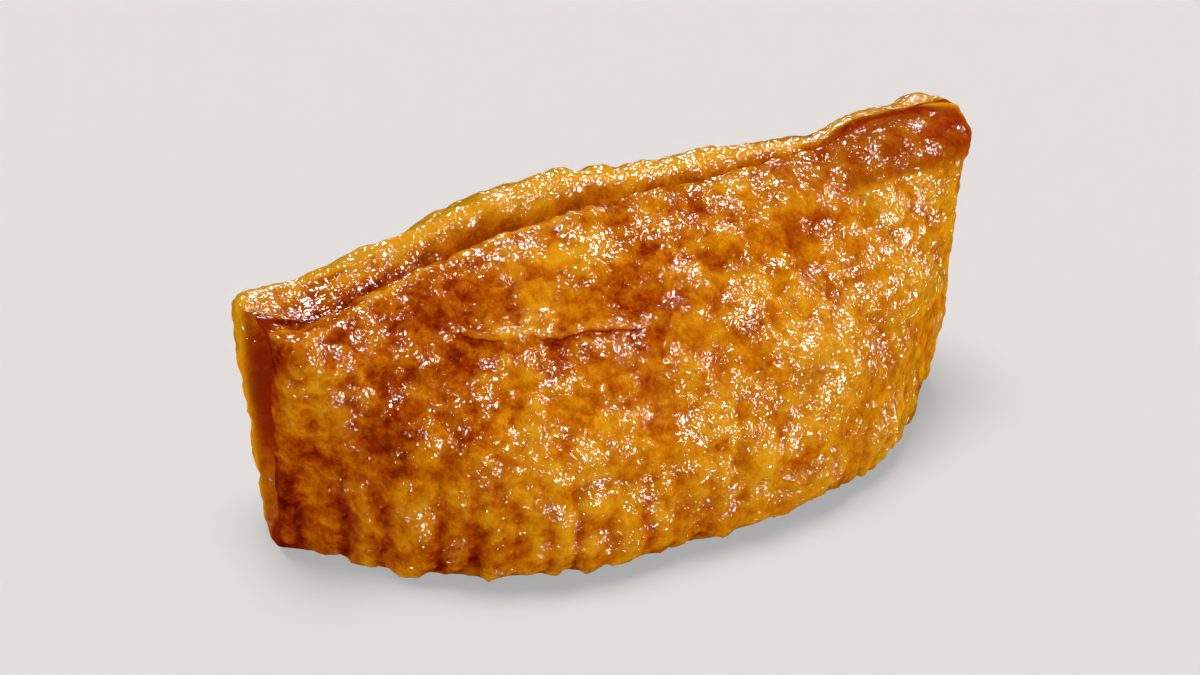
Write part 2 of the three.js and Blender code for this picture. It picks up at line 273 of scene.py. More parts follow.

# Where the skin is thinner and has a painted glow of light shining through it: two rims, each
# about a share of the way over its end and by amounts that change between two heights, and the back
# lip between its stretches along.
GLOW_RIGHT_RIM = {"end": 0.5, "width": 0.13, "heights": (10, 20), "amounts": (1, 1.4)}
GLOW_LEFT_RIM = {"end": 0.55, "width": 0.1, "heights": (20, 8), "amounts": (0.8, 1.4)}
GLOW_LIP = {"lip": 0.7, "width": 0.35, "left": (-26, -16), "right": (24, 12)}

# How much of the skin the wet film covers: everywhere, and how much more or less in some parts.
WET = {
    "everywhere": 0.45,
    "right": 0.07,
    "left": 0.1,
    "crease": -0.7,
    "front_lip": 0.1,
    "back_lip": 0.45,
    "valley": 0.4,
    "red": -0.15,
}
WET_RIGHT_ALONG = (-8, 22)
WET_LEFT_ALONG = (-10, -24)
WET_LIP = (1.4, 0.8)
DRY_CREASE = {"lip": (0.35, 0.2), "along": (-24, -18)}
# Places of the front where more or less of the film lies.
WET_PATCHES = [
    {"place": (-6.4, 5.5), "reach": (3, 2), "wet": 0.4},
    {"place": (-13.9, 3.8), "reach": (2.5, 2), "wet": 0.4},
    {"place": (-26, 3.6), "reach": (2, 2.5), "wet": 0.3},
    {"place": (19.5, -1), "reach": (4, 3), "wet": 0.3},
    {"place": (8, 15.5), "reach": (4, 1), "wet": 0.3},
    {"place": (-17, -10), "reach": (3, 2.5), "wet": 0.35},
    {"place": (0.4, -13), "reach": (4, 2), "wet": 0.4},
    {"place": (-24, -10), "reach": (4, 3), "wet": 0.25},
    {"place": (18, -10), "reach": (7, 4), "wet": 0.2},
    {"place": (-21, 13.5), "reach": (7, 3), "wet": -0.15},
]
# The share of the fine relief that the film follows.
FILM_FOLLOWS = 0.4

# ---- The grid of one panel. ----

ACROSS = 296
ROWS = {"lip": 34, "face": 96, "bottom": 28, "underside": 8}


def mix(start, stop, share):
    """A value that goes straight from `start` to `stop` as the share goes from 0 to 1."""
    return start + (stop - start) * share


def ease(start, stop, value):
    """0 up to `start`, 1 from `stop` on, and three shares squared less two shares cubed between."""
    share = np.clip((value - start) / (stop - start), 0, 1)
    return share * share * (3 - 2 * share)


def along(ends, station):
    """The middle's value, going to that of an end with the square of the station."""
    side = np.where(station < 0, ends["left"], ends["right"])
    return mix(ends["middle"], side, station**2)


def border_turn(share):
    """The turn of a rolled border: from minus 90 degrees in the fold to 90 on the face."""
    return (2 * np.clip(share, 0, 1) - 1) * QUARTER_TURN


def border_reach(turn):
    """The share of its depth that a rolled border has reached: straight in the fold, a sine outside."""
    return (1 + np.where(turn < 0, turn / QUARTER_TURN, np.sin(turn))) / 2


def from_hollow(across):
    """0 where an end's hollow is deepest, and 1 where the end's rolled rim meets the face."""
    return (1 - np.abs(across)) / END_SHARE


def from_crease(down):
    """0 in the crease, and 1 where a lip meets the face."""
    return down / LIP_END


def lip_reach(turn, crest):
    """The same for a lip: straight from the fold to its crest, and straight on from there."""
    share = turn / QUARTER_TURN
    return np.where(turn < 0, crest * (1 + share), mix(crest, 1, share))


# ---- The smooth pouch. ----


def crest_height(station):
    """The height of the closed edge, with the raised corner at its right end."""
    corner = ease(RIGHT_CORNER["start"], RIGHT_CORNER["full"], station)
    return along(CREST_HEIGHT, station) + RIGHT_CORNER["lift"] * corner


def hump_height(panel, station):
    """A bell over the station of the hump, brought to nothing at the ends."""
    offset = (station - BACK_HUMP["station"]) / BACK_HUMP["width"]
    return panel["hump"] * np.exp(-(offset**2)) * (1 - station**2)


def corner_height(panel, station):
    """How far a lip's own corner rises, eased in over the outer stations."""
    corner = np.where(station < 0, panel["corner"]["left"], panel["corner"]["right"])
    return corner * ease(LIP_CORNER["start"], LIP_CORNER["full"], np.abs(station))


def skin_height(panel, station, inward, down):
    """Height: a cosine up the fold, the square of the turn down the lip, straight down the face.

    A quarter round leads to the underside.
    """
    closed = ease(CREASE_CLOSED["start"], CREASE_CLOSED["full"], station)
    crease = crest_height(station) - along(CREASE_DEPTH, station) * (1 - closed) * inward
    lift = hump_height(panel, station) + corner_height(panel, station) * inward
    crest = crest_height(station) + lift
    turn = border_turn(from_crease(down))
    inside = mix(crease, crest, np.cos(turn))
    drop = along(LIP_DROP, station)
    outside = crest - drop * (turn / QUARTER_TURN) ** 2
    lip = np.where(turn < 0, inside, outside)
    face = mix(crest - drop, BOTTOM_RADIUS, (down - LIP_END) / (FACE_END - LIP_END))
    tuck = np.clip((down - FACE_END) / (BOTTOM_END - FACE_END), 0, 1) * QUARTER_TURN
    bottom = BOTTOM_RADIUS * (1 - np.sin(tuck))
    return np.where(down <= LIP_END, lip, np.where(down <= FACE_END, face, bottom))


def skin_depth(panel, station, down):
    """Depth from the closed edge: the rolled lip, then a face that swells with a power of its fall.

    Toward the ends the plan's rounded boat brings every depth in to that of the end's rim.
    """
    side = ease(-RIM_CHANGE, RIM_CHANGE, station)
    rim_top = mix(panel["rim_top"]["left"], panel["rim_top"]["right"], side)
    rim_bottom = mix(panel["rim_bottom"]["left"], panel["rim_bottom"]["right"], side)
    bulge = np.maximum(1 - np.abs(station) ** PLAN_SQUARENESS, 0) ** PLAN_FULLNESS
    lip = along(panel["lip"], station)
    crest = along(LIP_CREST, station)
    rolled = mix(rim_top, lip, bulge) * lip_reach(border_turn(from_crease(down)), crest)
    fall = np.clip((down - LIP_END) / (FACE_END - LIP_END), 0, 1)
    face = mix(lip, panel["belly"], 1 - (1 - fall) ** FACE_SWELL)
    depth = mix(mix(rim_top, rim_bottom, fall), face, bulge)
    tuck = np.clip((down - FACE_END) / (BOTTOM_END - FACE_END), 0, 1) * QUARTER_TURN
    underside = np.clip((down - BOTTOM_END) / (1 - BOTTOM_END), 0, 1)
    radius = np.minimum(BOTTOM_RADIUS, BOTTOM_TUCK * depth)
    tucked = (depth - radius * (1 - np.cos(tuck))) * (1 - underside)
    return np.where(down <= LIP_END, rolled, tucked)


def pouch_points(panel, across, down):
    """The smooth panel: `across` from -1 to 1 along it, `down` from 0 at the crease to 1 at the seam.

    An end rolls in over its rim and back into its hollow by the square of a sine.
    """
    station = np.clip(across / (1 - END_SHARE), -1, 1)
    left = across < 0
    ends = [np.where(left, LEFT_END[key], RIGHT_END[key]) for key in LEFT_END]
    lean_in, swell, forward, hollow, foot, top = ends
    turn = border_turn(from_hollow(across))
    height = skin_height(panel, station, border_reach(turn), down)
    rise = np.clip(height / crest_height(station), 0, 1)
    reach = HALF_LENGTH - lean_in * (1 - rise) + swell * 4 * rise * (1 - rise)
    hollow = hollow * ease(foot, foot + HOLLOW_RISE, rise) * (1 - ease(top, top + HOLLOW_RISE, rise))
    inset = np.where(turn < 0, hollow * np.sin(turn) ** 2, END_RADIUS * (1 - np.cos(turn)))
    rim = np.sign(across) * (reach - inset)
    rolled = np.where(np.abs(station) < 1, station * (reach - END_RADIUS), rim)
    opened = 2 * border_reach(border_turn(from_crease(down)))
    openness = np.minimum(np.minimum(opened, 1), (1 - down) / (1 - BOTTOM_END))
    x = mix(across * (reach - hollow), rolled, openness)
    y = panel["outward"] * skin_depth(panel, station, down) * border_reach(turn)
    y = y - forward * (1 - rise) * station**2
    return np.stack([x, y, height], axis=-1)


# ---- Noise. ----

# Corner values come from stirred bits. A scattered centre strays from the middle of its cube by up to
# `CENTRE_REACH`, and `FAR` is past every distance that is looked for.
CORNER_FACTORS = np.array([73856093, 19349663, 83492791], dtype=np.uint32)
STIR_FACTORS = np.array([2246822519, 3266489917], dtype=np.uint32)
STIR_SHIFTS = (15, 13, 16)
HALF_RANGE = 2**31
VECTOR_SHIFTS = np.array([[101, 7, 31], [17, 211, 5], [59, 3, 307]])
CENTRE_REACH = 0.42
FAR = 9.0


def corner_values(corners):
    """A repeatable value from -1 to 1 for each corner of a lattice of unit cubes, by stirring bits."""
    parts = corners.astype(np.uint32) * CORNER_FACTORS
    bits = parts[..., 0] ^ parts[..., 1] ^ parts[..., 2]
    bits = (bits ^ (bits >> STIR_SHIFTS[0])) * STIR_FACTORS[0]
    bits = (bits ^ (bits >> STIR_SHIFTS[1])) * STIR_FACTORS[1]
    return (bits ^ (bits >> STIR_SHIFTS[2])) / HALF_RANGE - 1


def corner_vectors(corners):
    """Three such values for each corner, read at three shifted places."""
    return np.stack([corner_values(corners + shift) for shift in VECTOR_SHIFTS], axis=-1)


def blended_corners(points, corner_part):
    """The eight corners' parts round each point, weighted by their eased nearness."""
    cells = np.floor(points).astype(np.int64)
    inside = points - cells
    near = ease(0, 1, inside)
    total = 0
    for corner in itertools.product((0, 1), repeat=3):
        weight = np.prod(np.where(corner, near, 1 - near), axis=-1)
        total = total + weight * corner_part(cells + np.array(corner), inside - np.array(corner))
    return total


def value_noise(points):
    """Smooth noise from -1 to 1 that has each corner's value at that corner."""
    return blended_corners(points, lambda corners, offset: corner_values(corners))


def slope_noise(points):
    """Smooth noise that is 0 at each corner, where it slopes along that corner's vector."""
    return blended_corners(
        points, lambda corners, offset: np.sum(corner_vectors(corners) * offset, axis=-1)
    )


def centre_distance(points):
    """The distance to the nearest of the scattered centres, one in each unit cube."""
    cells = np.floor(points).astype(np.int64)
    inside = points - cells
    nearest = np.full(points.shape[:-1], FAR)
    for shift in itertools.product((-1, 0, 1), repeat=3):
        centre = np.array(shift) + 0.5 + CENTRE_REACH * corner_vectors(cells + np.array(shift))
        distance = np.linalg.norm(centre - inside, axis=-1)
        nearest = np.minimum(nearest, distance)
    return nearest


# ---- Relief, as a distance out of the smooth skin. ----


def drift(kind, points):
    """A slow change over the plan, of at most the kind's reach either way."""
    plan = points / kind["size"]
    plan[..., 2] = kind["slice"]
    return kind["reach"] * value_noise(plan)


def pleat_relief(points, across):
    """Round pleats with sharp valleys: the size of a sine along the pouch, fading up the face."""
    place = across * HALF_LENGTH + drift(PLEAT_WANDER, points)
    lobe = np.abs(np.sin(math.pi * place / PLEAT["pitch"])) - PLEAT["level"]
    top = PLEAT_TOP["height"] + drift(PLEAT_TOP, points)
    return along(PLEAT_DEPTH, across) * lobe * ease(top, PLEAT["full"], points[..., 2])


def slant_places(points):
    """Each point as a place along the pouch and up the slant of its face."""
    slant = (points[..., 2] - np.abs(points[..., 1])) / math.sqrt(2)
    return np.stack([points[..., 0], slant], axis=-1)


def wrinkle_relief(wrinkle, places):
    """A trough with a bell for its section, along the straight line between two places."""
    start = np.array(wrinkle["start"])
    run = np.array(wrinkle["stop"]) - start
    share = np.clip((places - start) @ run / (run @ run), 0, 1)
    offset = np.linalg.norm(places - start - share[..., None] * run, axis=-1) / wrinkle["width"]
    return -wrinkle["depth"] * np.exp(-(offset**2))


def broad_relief(panel, points, across):
    """What the solid has: lumps of rice, blisters, pleats, wrinkles and the tab at the right."""
    front = panel is FRONT
    places = slant_places(points)
    blisters = np.abs(value_noise(points / BLISTER["size"])) - BLISTER["level"]
    relief = LUMP["height"] * value_noise(points / LUMP["size"]) + BLISTER["height"] * blisters
    relief *= mix(FOOT_CALM["share"], 1, ease(FOOT_CALM["low"], FOOT_CALM["high"], points[..., 2]))
    relief += pleat_relief(points, across)
    for wrinkle in FRONT_WRINKLES if front else BACK_WRINKLES:
        relief += wrinkle_relief(wrinkle, places)
    if front:
        tab = ease(TAB["start"], TAB["full"], places[..., 0])
        relief += TAB["rise"] * tab * ease(TAB["low"], TAB["high"], places[..., 1])
    return relief


def relief_share(fade, across, down):
    """Where relief counts: not in the ends' hollows, the crease or the underside, as `fade` says."""
    at_end = ease(fade["hollow"], fade["rim"], from_hollow(across))
    at_lip = ease(fade["crease"], fade["lip"], from_crease(down))
    tucked = ease(mix(FACE_END, BOTTOM_END, fade["bottom"]), BOTTOM_END, down)
    return at_end * at_lip * (1 - tucked)


def crack_offset(places):
    """How far a place lies above the crack's line, and how open the crack is there, up to 1.

    The line is straight from place to place, moved by noise, and closes toward its two ends.
    """
    x, slant = places[..., 0], places[..., 1]
    line = np.interp(x, CRACK["along"], CRACK["slant"])
    for wander in CRACK_WANDERS:
        spot = np.stack([x, slant, np.full_like(x, CRACK_SLICE)], axis=-1) / wander["size"]
        line = line + wander["reach"] * value_noise(spot)
    first, last = CRACK["along"][0], CRACK["along"][-1]
    opened = ease(first, first + CRACK_END, x) * ease(last, last - CRACK_END, x)
    return slant - line, opened


def bell(offset, width):
    """1 at no offset, falling off with its square."""
    return np.exp(-((offset / width) ** 2))


def front_details(points):
    """The lip and the step along a crack, a pit, and a blister with a star of folds round its dome."""
    places = slant_places(points)
    offset, opened = crack_offset(places)
    relief = opened * CRACK_LIP["height"] * bell(offset - CRACK_LIP["above"], CRACK_LIP["width"])
    relief -= opened * CRACK_STEP["depth"] * bell(offset + CRACK_STEP["below"], CRACK_STEP["width"])
    for fold in FRONT_FOLDS:
        relief += wrinkle_relief({**fold, "depth": -fold["height"]}, places)
    relief -= PIT["depth"] * bell(np.linalg.norm(places - np.array(PIT["place"]), axis=-1), PIT["radius"])
    away = places - np.array(STAR["place"])
    distance = np.linalg.norm(away, axis=-1)
    turn = np.arctan2(away[..., 1], away[..., 0])
    star = STAR["fold"] * np.sin(STAR["folds"] * turn) * bell(distance - STAR["radius"], STAR["spread"])
    return relief + STAR["dome"] * bell(distance, STAR["radius"]) + star


def back_details(points, down):
    """The small folds of the back lip, each a ridge with a bell for its section."""
    places = np.stack([points[..., 0], np.broadcast_to(down * LIP_UNROLLED, points.shape[:-1])], axis=-1)
    folds = ({**fold, "depth": -fold["height"]} for fold in LIP_FOLDS)
    return sum(wrinkle_relief(fold, places) for fold in folds)


def fine_relief(panel, points, down):
    """Puffs and grains as domes over scattered centres, sharp ridges, a ragged foot and single details."""
    shifts = (WARP["shift"] * k for k in (1, 2, 3))
    warp = np.stack([slope_noise(points / WARP["size"] + shift) for shift in shifts], axis=-1)
    warped = points + WARP["reach"] * warp
    puff = centre_distance(warped / PUFF["size"])
    grain = centre_distance(warped / GRAIN["size"] + GRAIN["shift"])
    ridge = np.abs(slope_noise(warped / RIDGE["size"] + RIDGE["shift"]))
    ridge = np.maximum(1 - RIDGE_FALL * ridge, 0)
    relief = PUFF["height"] * (DOME_LEVEL - DOME_FALL * puff**2)
    relief += GRAIN["height"] * (DOME_LEVEL - DOME_FALL * grain**2)
    relief += RIDGE["height"] * (ridge - DOME_LEVEL)
    calm = value_noise(points / CALM["size"] + CALM["shift"])
    relief *= CALM["least"] + CALM["reach"] * (1 + calm) / 2
    foot = ease(RAGGED["high"], RAGGED["low"], points[..., 2])
    plan = points / RAGGED["size"]
    plan[..., 2] = RAGGED["slice"]
    relief += RAGGED["height"] * foot * (1 - 2 * np.abs(value_noise(plan)) ** RAGGED["power"])
    return relief + (front_details(points) if panel is FRONT else back_details(points, down))


def seam_lift(points, across, down):
    """How far the seam lifts the underside: a bell across it, which runs out before the ends."""
    share = ease(BOTTOM_END, mix(BOTTOM_END, 1, SEAM["full"]), down)
    from_end = ease(END_SHARE, 2 * END_SHARE, 1 - np.abs(across))
    return SEAM["depth"] * np.exp(-((points[..., 1] / SEAM["width"]) ** 2)) * share * from_end


# ---- Meshes. ----

TINY = 1e-12


def rows_down():
    """The rows of a panel from the crease to the seam, each stretch with its own even step."""
    ends = (0, LIP_END, FACE_END, BOTTOM_END, 1)
    counts = ROWS.values()
    steps = [np.linspace(a, b, n, endpoint=False) for a, b, n in zip(ends, ends[1:], counts)]
    return np.append(np.concatenate(steps), 1.0)


def joined_grids(rows, columns):
    """Vertex numbers of two grids that share all four borders, as two arrays of rows by columns."""
    front = np.arange(rows * columns).reshape(rows, columns)
    back = front.copy()
    inner = (rows - 2) * (columns - 2)
    back[1:-1, 1:-1] = rows * columns + np.arange(inner).reshape(rows - 2, columns - 2)
    return front, back


def grid_quads(numbers):
    """The quads of a grid of vertex numbers, in the order that turns them to the side of the rows."""
    corners = (numbers[:-1, :-1], numbers[1:, :-1], numbers[1:, 1:], numbers[:-1, 1:])
    return np.stack(corners, axis=-1).reshape(-1, 4)


def vertex_normals(points, quads):
    """Unit normals: at each vertex the sum of the crossed diagonals of the quads round it."""
    a, b, c, d = (points[quads[:, k]] for k in range(4))
    crossed = np.cross(c - a, d - b)
    total = np.zeros_like(points)
    for axis in range(3):
        for k in range(4):
            total[:, axis] += np.bincount(quads[:, k], crossed[:, axis], len(points))
    size = np.linalg.norm(total, axis=-1, keepdims=True)
    return total / np.maximum(size, TINY)


def new_piece(name, points, quads, material, values, film):
    """A mesh object from points in millimetres, with smooth quads and values at each vertex.

    `film` holds the normals of the wet film that lies over it.
    """
    mesh = bpy.data.meshes.new(name)
    mesh.vertices.add(len(points))
    mesh.vertices.foreach_set("co", (points * MM).astype(np.float32).ravel())
    mesh.loops.add(quads.size)
    mesh.loops.foreach_set("vertex_index", quads.astype(np.int32).ravel())
    mesh.polygons.add(len(quads))
    mesh.polygons.foreach_set("loop_start", np.arange(0, quads.size, 4, dtype=np.int32))
    mesh.update(calc_edges=True)
    mesh.validate()
    mesh.polygons.foreach_set("use_smooth", np.ones(len(mesh.polygons), dtype=bool))
    for key, value in values.items():
        mesh.attributes.new(key, "FLOAT", "POINT").data.foreach_set("value", value.astype(np.float32))
    normals = mesh.attributes.new("film_normal", "FLOAT_VECTOR", "POINT")
    normals.data.foreach_set("vector", film.astype(np.float32).ravel())
    mesh.materials.append(material)
    piece = bpy.data.objects.new(name, mesh)
    bpy.context.scene.collection.objects.link(piece)
    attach(piece, BODY)
    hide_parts(NODE)
    return piece


def skin_surface():
    """The skin's points and quads, the normals of the wet film over it, and the skin's values.

    Each vertex goes out along the smooth skin's normal by the broad and the fine relief, and the film
    goes out by the broad relief and a share of the fine. The skin is then put where the solid without
    its fine relief has the middle of its underside.
    """
    across, down = np.meshgrid(np.linspace(-1, 1, ACROSS + 1), rows_down())
    numbers = joined_grids(*across.shape)
    count = numbers[1].max() + 1
    points = np.zeros((count, 3))
    broad = np.zeros(count)
    fine = np.zeros(count)
    shade = np.zeros(count)
    red = np.zeros(count)
    thin_glow = np.zeros(count)
    wet = np.zeros(count)
    crack = np.full(count, FAR)
    crack_open = np.zeros(count)
    for panel, number in zip((FRONT, BACK), numbers):
        smooth = pouch_points(panel, across, down)
        broad[number] = broad_relief(panel, smooth, across) * relief_share(RELIEF_FADE, across, down)
        fine[number] = fine_relief(panel, smooth, down) * relief_share(FINE_FADE, across, down)
        shade[number] = skin_shade(panel, smooth, across, down)
        red[number] = skin_redness(panel, smooth, across)
        thin_glow[number] = skin_glow(panel, smooth, across, down)
        wet[number] = skin_wetness(panel, smooth, across, down)
        if panel is FRONT:
            crack[number], crack_open[number] = crack_offset(slant_places(smooth))
        smooth[..., 2] += seam_lift(smooth, across, down)
        points[number] = smooth
    quads = np.concatenate([grid_quads(numbers[0]), grid_quads(numbers[1])[:, ::-1]])
    normals = vertex_normals(points, quads)
    solid = points + normals * broad[:, None]
    solid[:, 2] = np.maximum(solid[:, 2], 0)
    low, high = solid.min(axis=0), solid.max(axis=0)
    centre = np.array([(low[0] + high[0]) / 2, (low[1] + high[1]) / 2, low[2]])
    skin = points + normals * (broad + fine)[:, None]
    skin[:, 2] = np.maximum(skin[:, 2], 0)
    skin -= centre
    values = {"height": fine, "broad": broad, "shade": shade, "red": red, "thin_glow": thin_glow, "wet": wet,
              "crack": crack, "crack_open": crack_open}
    film = points + normals * (broad + FILM_FOLLOWS * fine)[:, None]
    return skin, quads, vertex_normals(film, quads), values


def spots_at(places, spots, key):
    """The sum of the spots' values at each place, each in an oval bell round its own place."""
    total = 0
    for spot in spots:
        offset = (places - np.array(spot["place"])) / np.array(spot["reach"])
        total = total + spot[key] * np.exp(-np.sum(offset**2, axis=-1))
    return total


def hollow_shade(hollow, across, high):
    """The left hollow's painted shade: its values low down, going to those high up with the share `high`.
    """
    low, top = hollow["low"], hollow["high"]
    start, stop = (mix(a, b, high) for a, b in zip(low["end"], top["end"]))
    brown = mix(low["brown"], top["brown"], high)
    return brown * (across < 0) * (1 - ease(start, stop, from_hollow(across)))


def skin_shade(panel, points, across, down):
    """How brown the skin is, from below 0 where it is pale to 1 and more in the crease and the hollow.

    The crease and the left hollow are painted shade. The pleats' valleys get painted shade and their
    crests painted light, the left side painted shade and the right side painted light. The right tab
    and the front under its lip are brown too, and the front's spots are partly stains and partly
    painted shade and light. The left of the front's crest and the back lip are pale, but for the
    valley at the back lip's left.
    """
    x = points[..., 0]
    lip = from_crease(down)
    high = ease(*HOLLOW_HEIGHTS, points[..., 2])
    hollow = hollow_shade(FRONT_HOLLOW_SHADE if panel is FRONT else BACK_HOLLOW_SHADE, across, high)
    pleat_shade = PLEAT_SHADE["brown"] * mix(1, PLEAT_SHADE["past"], ease(*PLEAT_SHADE["along"], x))
    shade = np.maximum(ease(*CREASE_SHADE, lip), hollow) - pleat_shade * pleat_relief(points, across)
    if panel is FRONT:
        places = slant_places(points)
        slant = places[..., 1]
        shade += spots_at(places, STAINS_SHADE_AND_LIGHT, "brown")
        # Painted shade toward the left end and painted light toward the right end.
        shade += LEFT_SIDE_SHADE["brown"] * ease(*LEFT_SIDE_SHADE["along"], x)
        shade += RIGHT_SIDE_LIGHT["brown"] * ease(*RIGHT_SIDE_LIGHT["along"], x)
        shade += TAB_END["brown"] * ease(*TAB_END["along"], x) * ease(TAB["low"], TAB["high"], slant)
        crest = bell(lip - FRONT_CREST["lip"], FRONT_CREST["width"])
        shade += FRONT_CREST["brown"] * crest * ease(*FRONT_CREST["along"], x)
        shade += UNDER_LIP["brown"] * ease(*UNDER_LIP["slant"], slant) * ease(*UNDER_LIP["along"], x)
    else:
        pale = ease(*BACK_LIP["face"], lip) * ease(*BACK_LIP["lip"], lip)
        valley = ease(*VALLEY["along"], x) * ease(*VALLEY["lip"], lip)
        shade += VALLEY["brown"] * valley + BACK_LIP["brown"] * pale * (1 - valley)
    return shade


def skin_redness(panel, points, across):
    """How reddish the skin is, 0 to 1: on the right tab, on the back under it and in the left hollow.

    In the hollow the red is painted shade.
    """
    places = slant_places(points)
    red = ease(*RED_ALONG, places[..., 0])
    for stretch in RED_FRONT_SLANTS if panel is FRONT else RED_BACK_SLANTS:
        red = red * ease(*stretch, places[..., 1])
    return np.maximum(red, ease(*RED_HOLLOW_SHADE, from_hollow(across)) * (across < 0))


def glowing_rim(rim, points, across):
    """How much painted glow a rim has where the skin is thinner: a bell over the way across the end.

    Its amount changes with height.
    """
    amount = mix(*rim["amounts"], ease(*rim["heights"], points[..., 2]))
    return amount * bell(from_hollow(across) - rim["end"], rim["width"])


def skin_glow(panel, points, across, down):
    """The painted glow of light shining through the thinner skin.

    It lies over the front's right rim, the back's left rim and the back lip.
    """
    if panel is FRONT:
        return glowing_rim(GLOW_RIGHT_RIM, points, across) * (across > 0)
    rim = glowing_rim(GLOW_LEFT_RIM, points, across) * (across < 0)
    lip = bell(from_crease(down) - GLOW_LIP["lip"], GLOW_LIP["width"])
    lip = lip * ease(*GLOW_LIP["left"], points[..., 0]) * ease(*GLOW_LIP["right"], points[..., 0])
    return np.maximum(rim, lip)


def skin_wetness(panel, points, across, down):
    """How much of the skin the wet film covers: an even share, more to both sides and on the lips.

    The crease is dry but for its left end, and the back lip is wettest over the valley there. The
    red tab is drier, and patches of the front have more or less.
    """
    x = points[..., 0]
    lip = ease(*WET_LIP, from_crease(down))
    wet = WET["everywhere"] + WET["right"] * ease(*WET_RIGHT_ALONG, x)
    wet += WET["left"] * ease(*WET_LEFT_ALONG, x)
    wet += WET["crease"] * ease(*DRY_CREASE["lip"], from_crease(down)) * ease(*DRY_CREASE["along"], x)
    if panel is FRONT:
        wet += WET["front_lip"] * lip + spots_at(slant_places(points), WET_PATCHES, "wet")
        return wet + WET["red"] * skin_redness(panel, points, across)
    return wet + lip * (WET["back_lip"] + WET["valley"] * ease(*VALLEY["along"], x))


# ---- Materials. ----

PLACE_PUSH = 0.35
MIDDLE = (0.5, 0.5, 0.5)


def linear(red, green, blue):
    """A colour of 0 to 255 a channel as light: the power 2.4 of its shifted share, straight if dark."""
    shares = (value / 255 for value in (red, green, blue))
    return (*(s / 12.92 if s < 0.04 else ((s + 0.055) / 1.055) ** 2.4 for s in shares), 1.0)


class Nodes:
    """Adds nodes to one material and links them, so that each line of a finish is one node."""

    def __init__(self, name):
        self.material = bpy.data.materials.new(name)
        self.material.use_nodes = True
        self.tree = self.material.node_tree
        self.shader = self.tree.nodes["Principled BSDF"]

    def add(self, kind, inputs=(), output=0, **settings):
        """A node with its settings and inputs; a socket as an input is linked. Returns its output."""
        node = self.tree.nodes.new("ShaderNode" + kind)
        for key, value in settings.items():
            setattr(node, key, value)
        for key, value in dict(inputs).items():
            self.set(node.inputs[key], value)
        return node.outputs[output]

    def set(self, socket, value):
        """Links an output to the socket, or gives the socket its own value."""
        if isinstance(value, bpy.types.NodeSocket):
            self.tree.links.new(value, socket)
        else:
            socket.default_value = value

    def noise(self, size, detail=2.0, roughness=0.5, warp=0.0):
        """Noise from 0 to 1 whose features are about `size` millimetres across."""
        place = self.add("TexCoord", output="Object")
        inputs = {"Vector": place, "Scale": 1 / (size * MM), "Detail": detail,
                  "Roughness": roughness, "Distortion": warp}
        return self.add("TexNoise", inputs)

    def value(self, name):
        """A value that the mesh carries at its vertices."""
        return self.add("Attribute", output="Fac", attribute_name=name)

    def math(self, operation, first, second, third=0.0):
        """One number worked out from two or three others."""
        return self.add("Math", {0: first, 1: second, 2: third}, operation=operation)

    def vector(self, operation, first, second):
        """One vector worked out from two others."""
        return self.add("VectorMath", {0: first, 1: second}, operation=operation)

    def moved_place(self, size):
        """The object's own place, moved by soft noise of up to `PLACE_PUSH` times `size` either way."""
        place = self.add("TexCoord", output="Object")
        inputs = {"Vector": place, "Scale": 1 / (size * MM), "Detail": 1.0}
        push = self.add("TexNoise", inputs, output="Color")
        push = self.vector("SUBTRACT", push, MIDDLE)
        reach = 2 * PLACE_PUSH * size * MM
        push = self.vector("MULTIPLY", push, (reach, reach, reach))
        return self.vector("ADD", place, push)

    def stretch(self, value, low, high, start=0.0, stop=1.0):
        """Takes low to `start` and high to `stop`, and holds what lies outside."""
        return self.add("MapRange", {"Value": value, "From Min": low, "From Max": high,
                                     "To Min": start, "To Max": stop})

    def blend(self, share, first, second):
        """The first colour, going to the second as the share goes from 0 to 1."""
        return self.add("Mix", {0: share, 6: first, 7: second}, output=2, data_type="RGBA")

    def ramp(self, share, stops):
        """Colours along a share, each stop as its place and its colour."""
        socket = self.add("ValToRGB", {"Fac": share})
        elements = socket.node.color_ramp.elements
        for place, colour in stops[1:-1]:
            elements.new(place).color = colour
        elements[0].position, elements[0].color = stops[0]
        elements[-1].position, elements[-1].color = stops[-1]
        return socket


DEEP_BROWN = linear(107, 17, 2)
BROWN = linear(155, 51, 3)
CARAMEL = linear(192, 92, 6)
AMBER = linear(219, 129, 9)
PALE_AMBER = linear(240, 162, 22)
# The yellow of a painted glow of light shining through thinner skin.
GLOW_YELLOW = linear(252, 170, 14)
REDDISH_BROWN = linear(158, 47, 10)
# The tone goes through these colours. It starts from `TONE_START` and each part of it is added.
TONE_START = 0.008
TONE_STOPS = [(0.3, DEEP_BROWN), (0.45, BROWN), (0.59, CARAMEL), (0.73, AMBER), (0.9, PALE_AMBER)]
# How far skin goes to the reddish colour where its redness is 1, and to the yellow of the painted
# glow where its glow is 1.
RED_BLEND = 0.6
GLOW_BLEND = 0.7
# The wet film lies where wetness, tone and its patches add up past `low`, and is full at `high`.
FILM_COVER = {"wet": 0.5, "tone": 0.5, "low": 1.06, "high": 1.14, "least": 0.01}
# Facets tilt less where the film is wettest, from the first share of their tilt to the second.
CALM_WET = (0.6, 1.0)
CALM_TILT = (1.0, 0.4)
# Folds and ridges of the film by size and height. Facets by size, squeeze along each axis and tilt.
FOLD_SIZE = 1.8
FOLD_HEIGHT = 0.26
RIDGES = [(1.9, 0.1), (0.75, 0.04)]
RIDGE_WIDTH = 0.15
FACETS = [(1.8, (1, 1, 1), 0.3), (0.75, (0.35, 1, 1), 0.24), (0.65, (1, 1, 0.35), 0.2)]
CRACK_WIDTH = 0.14
CRACK_DEPTH = 0.2
CRINKLE = {"size": 0.8, "height": 0.25}


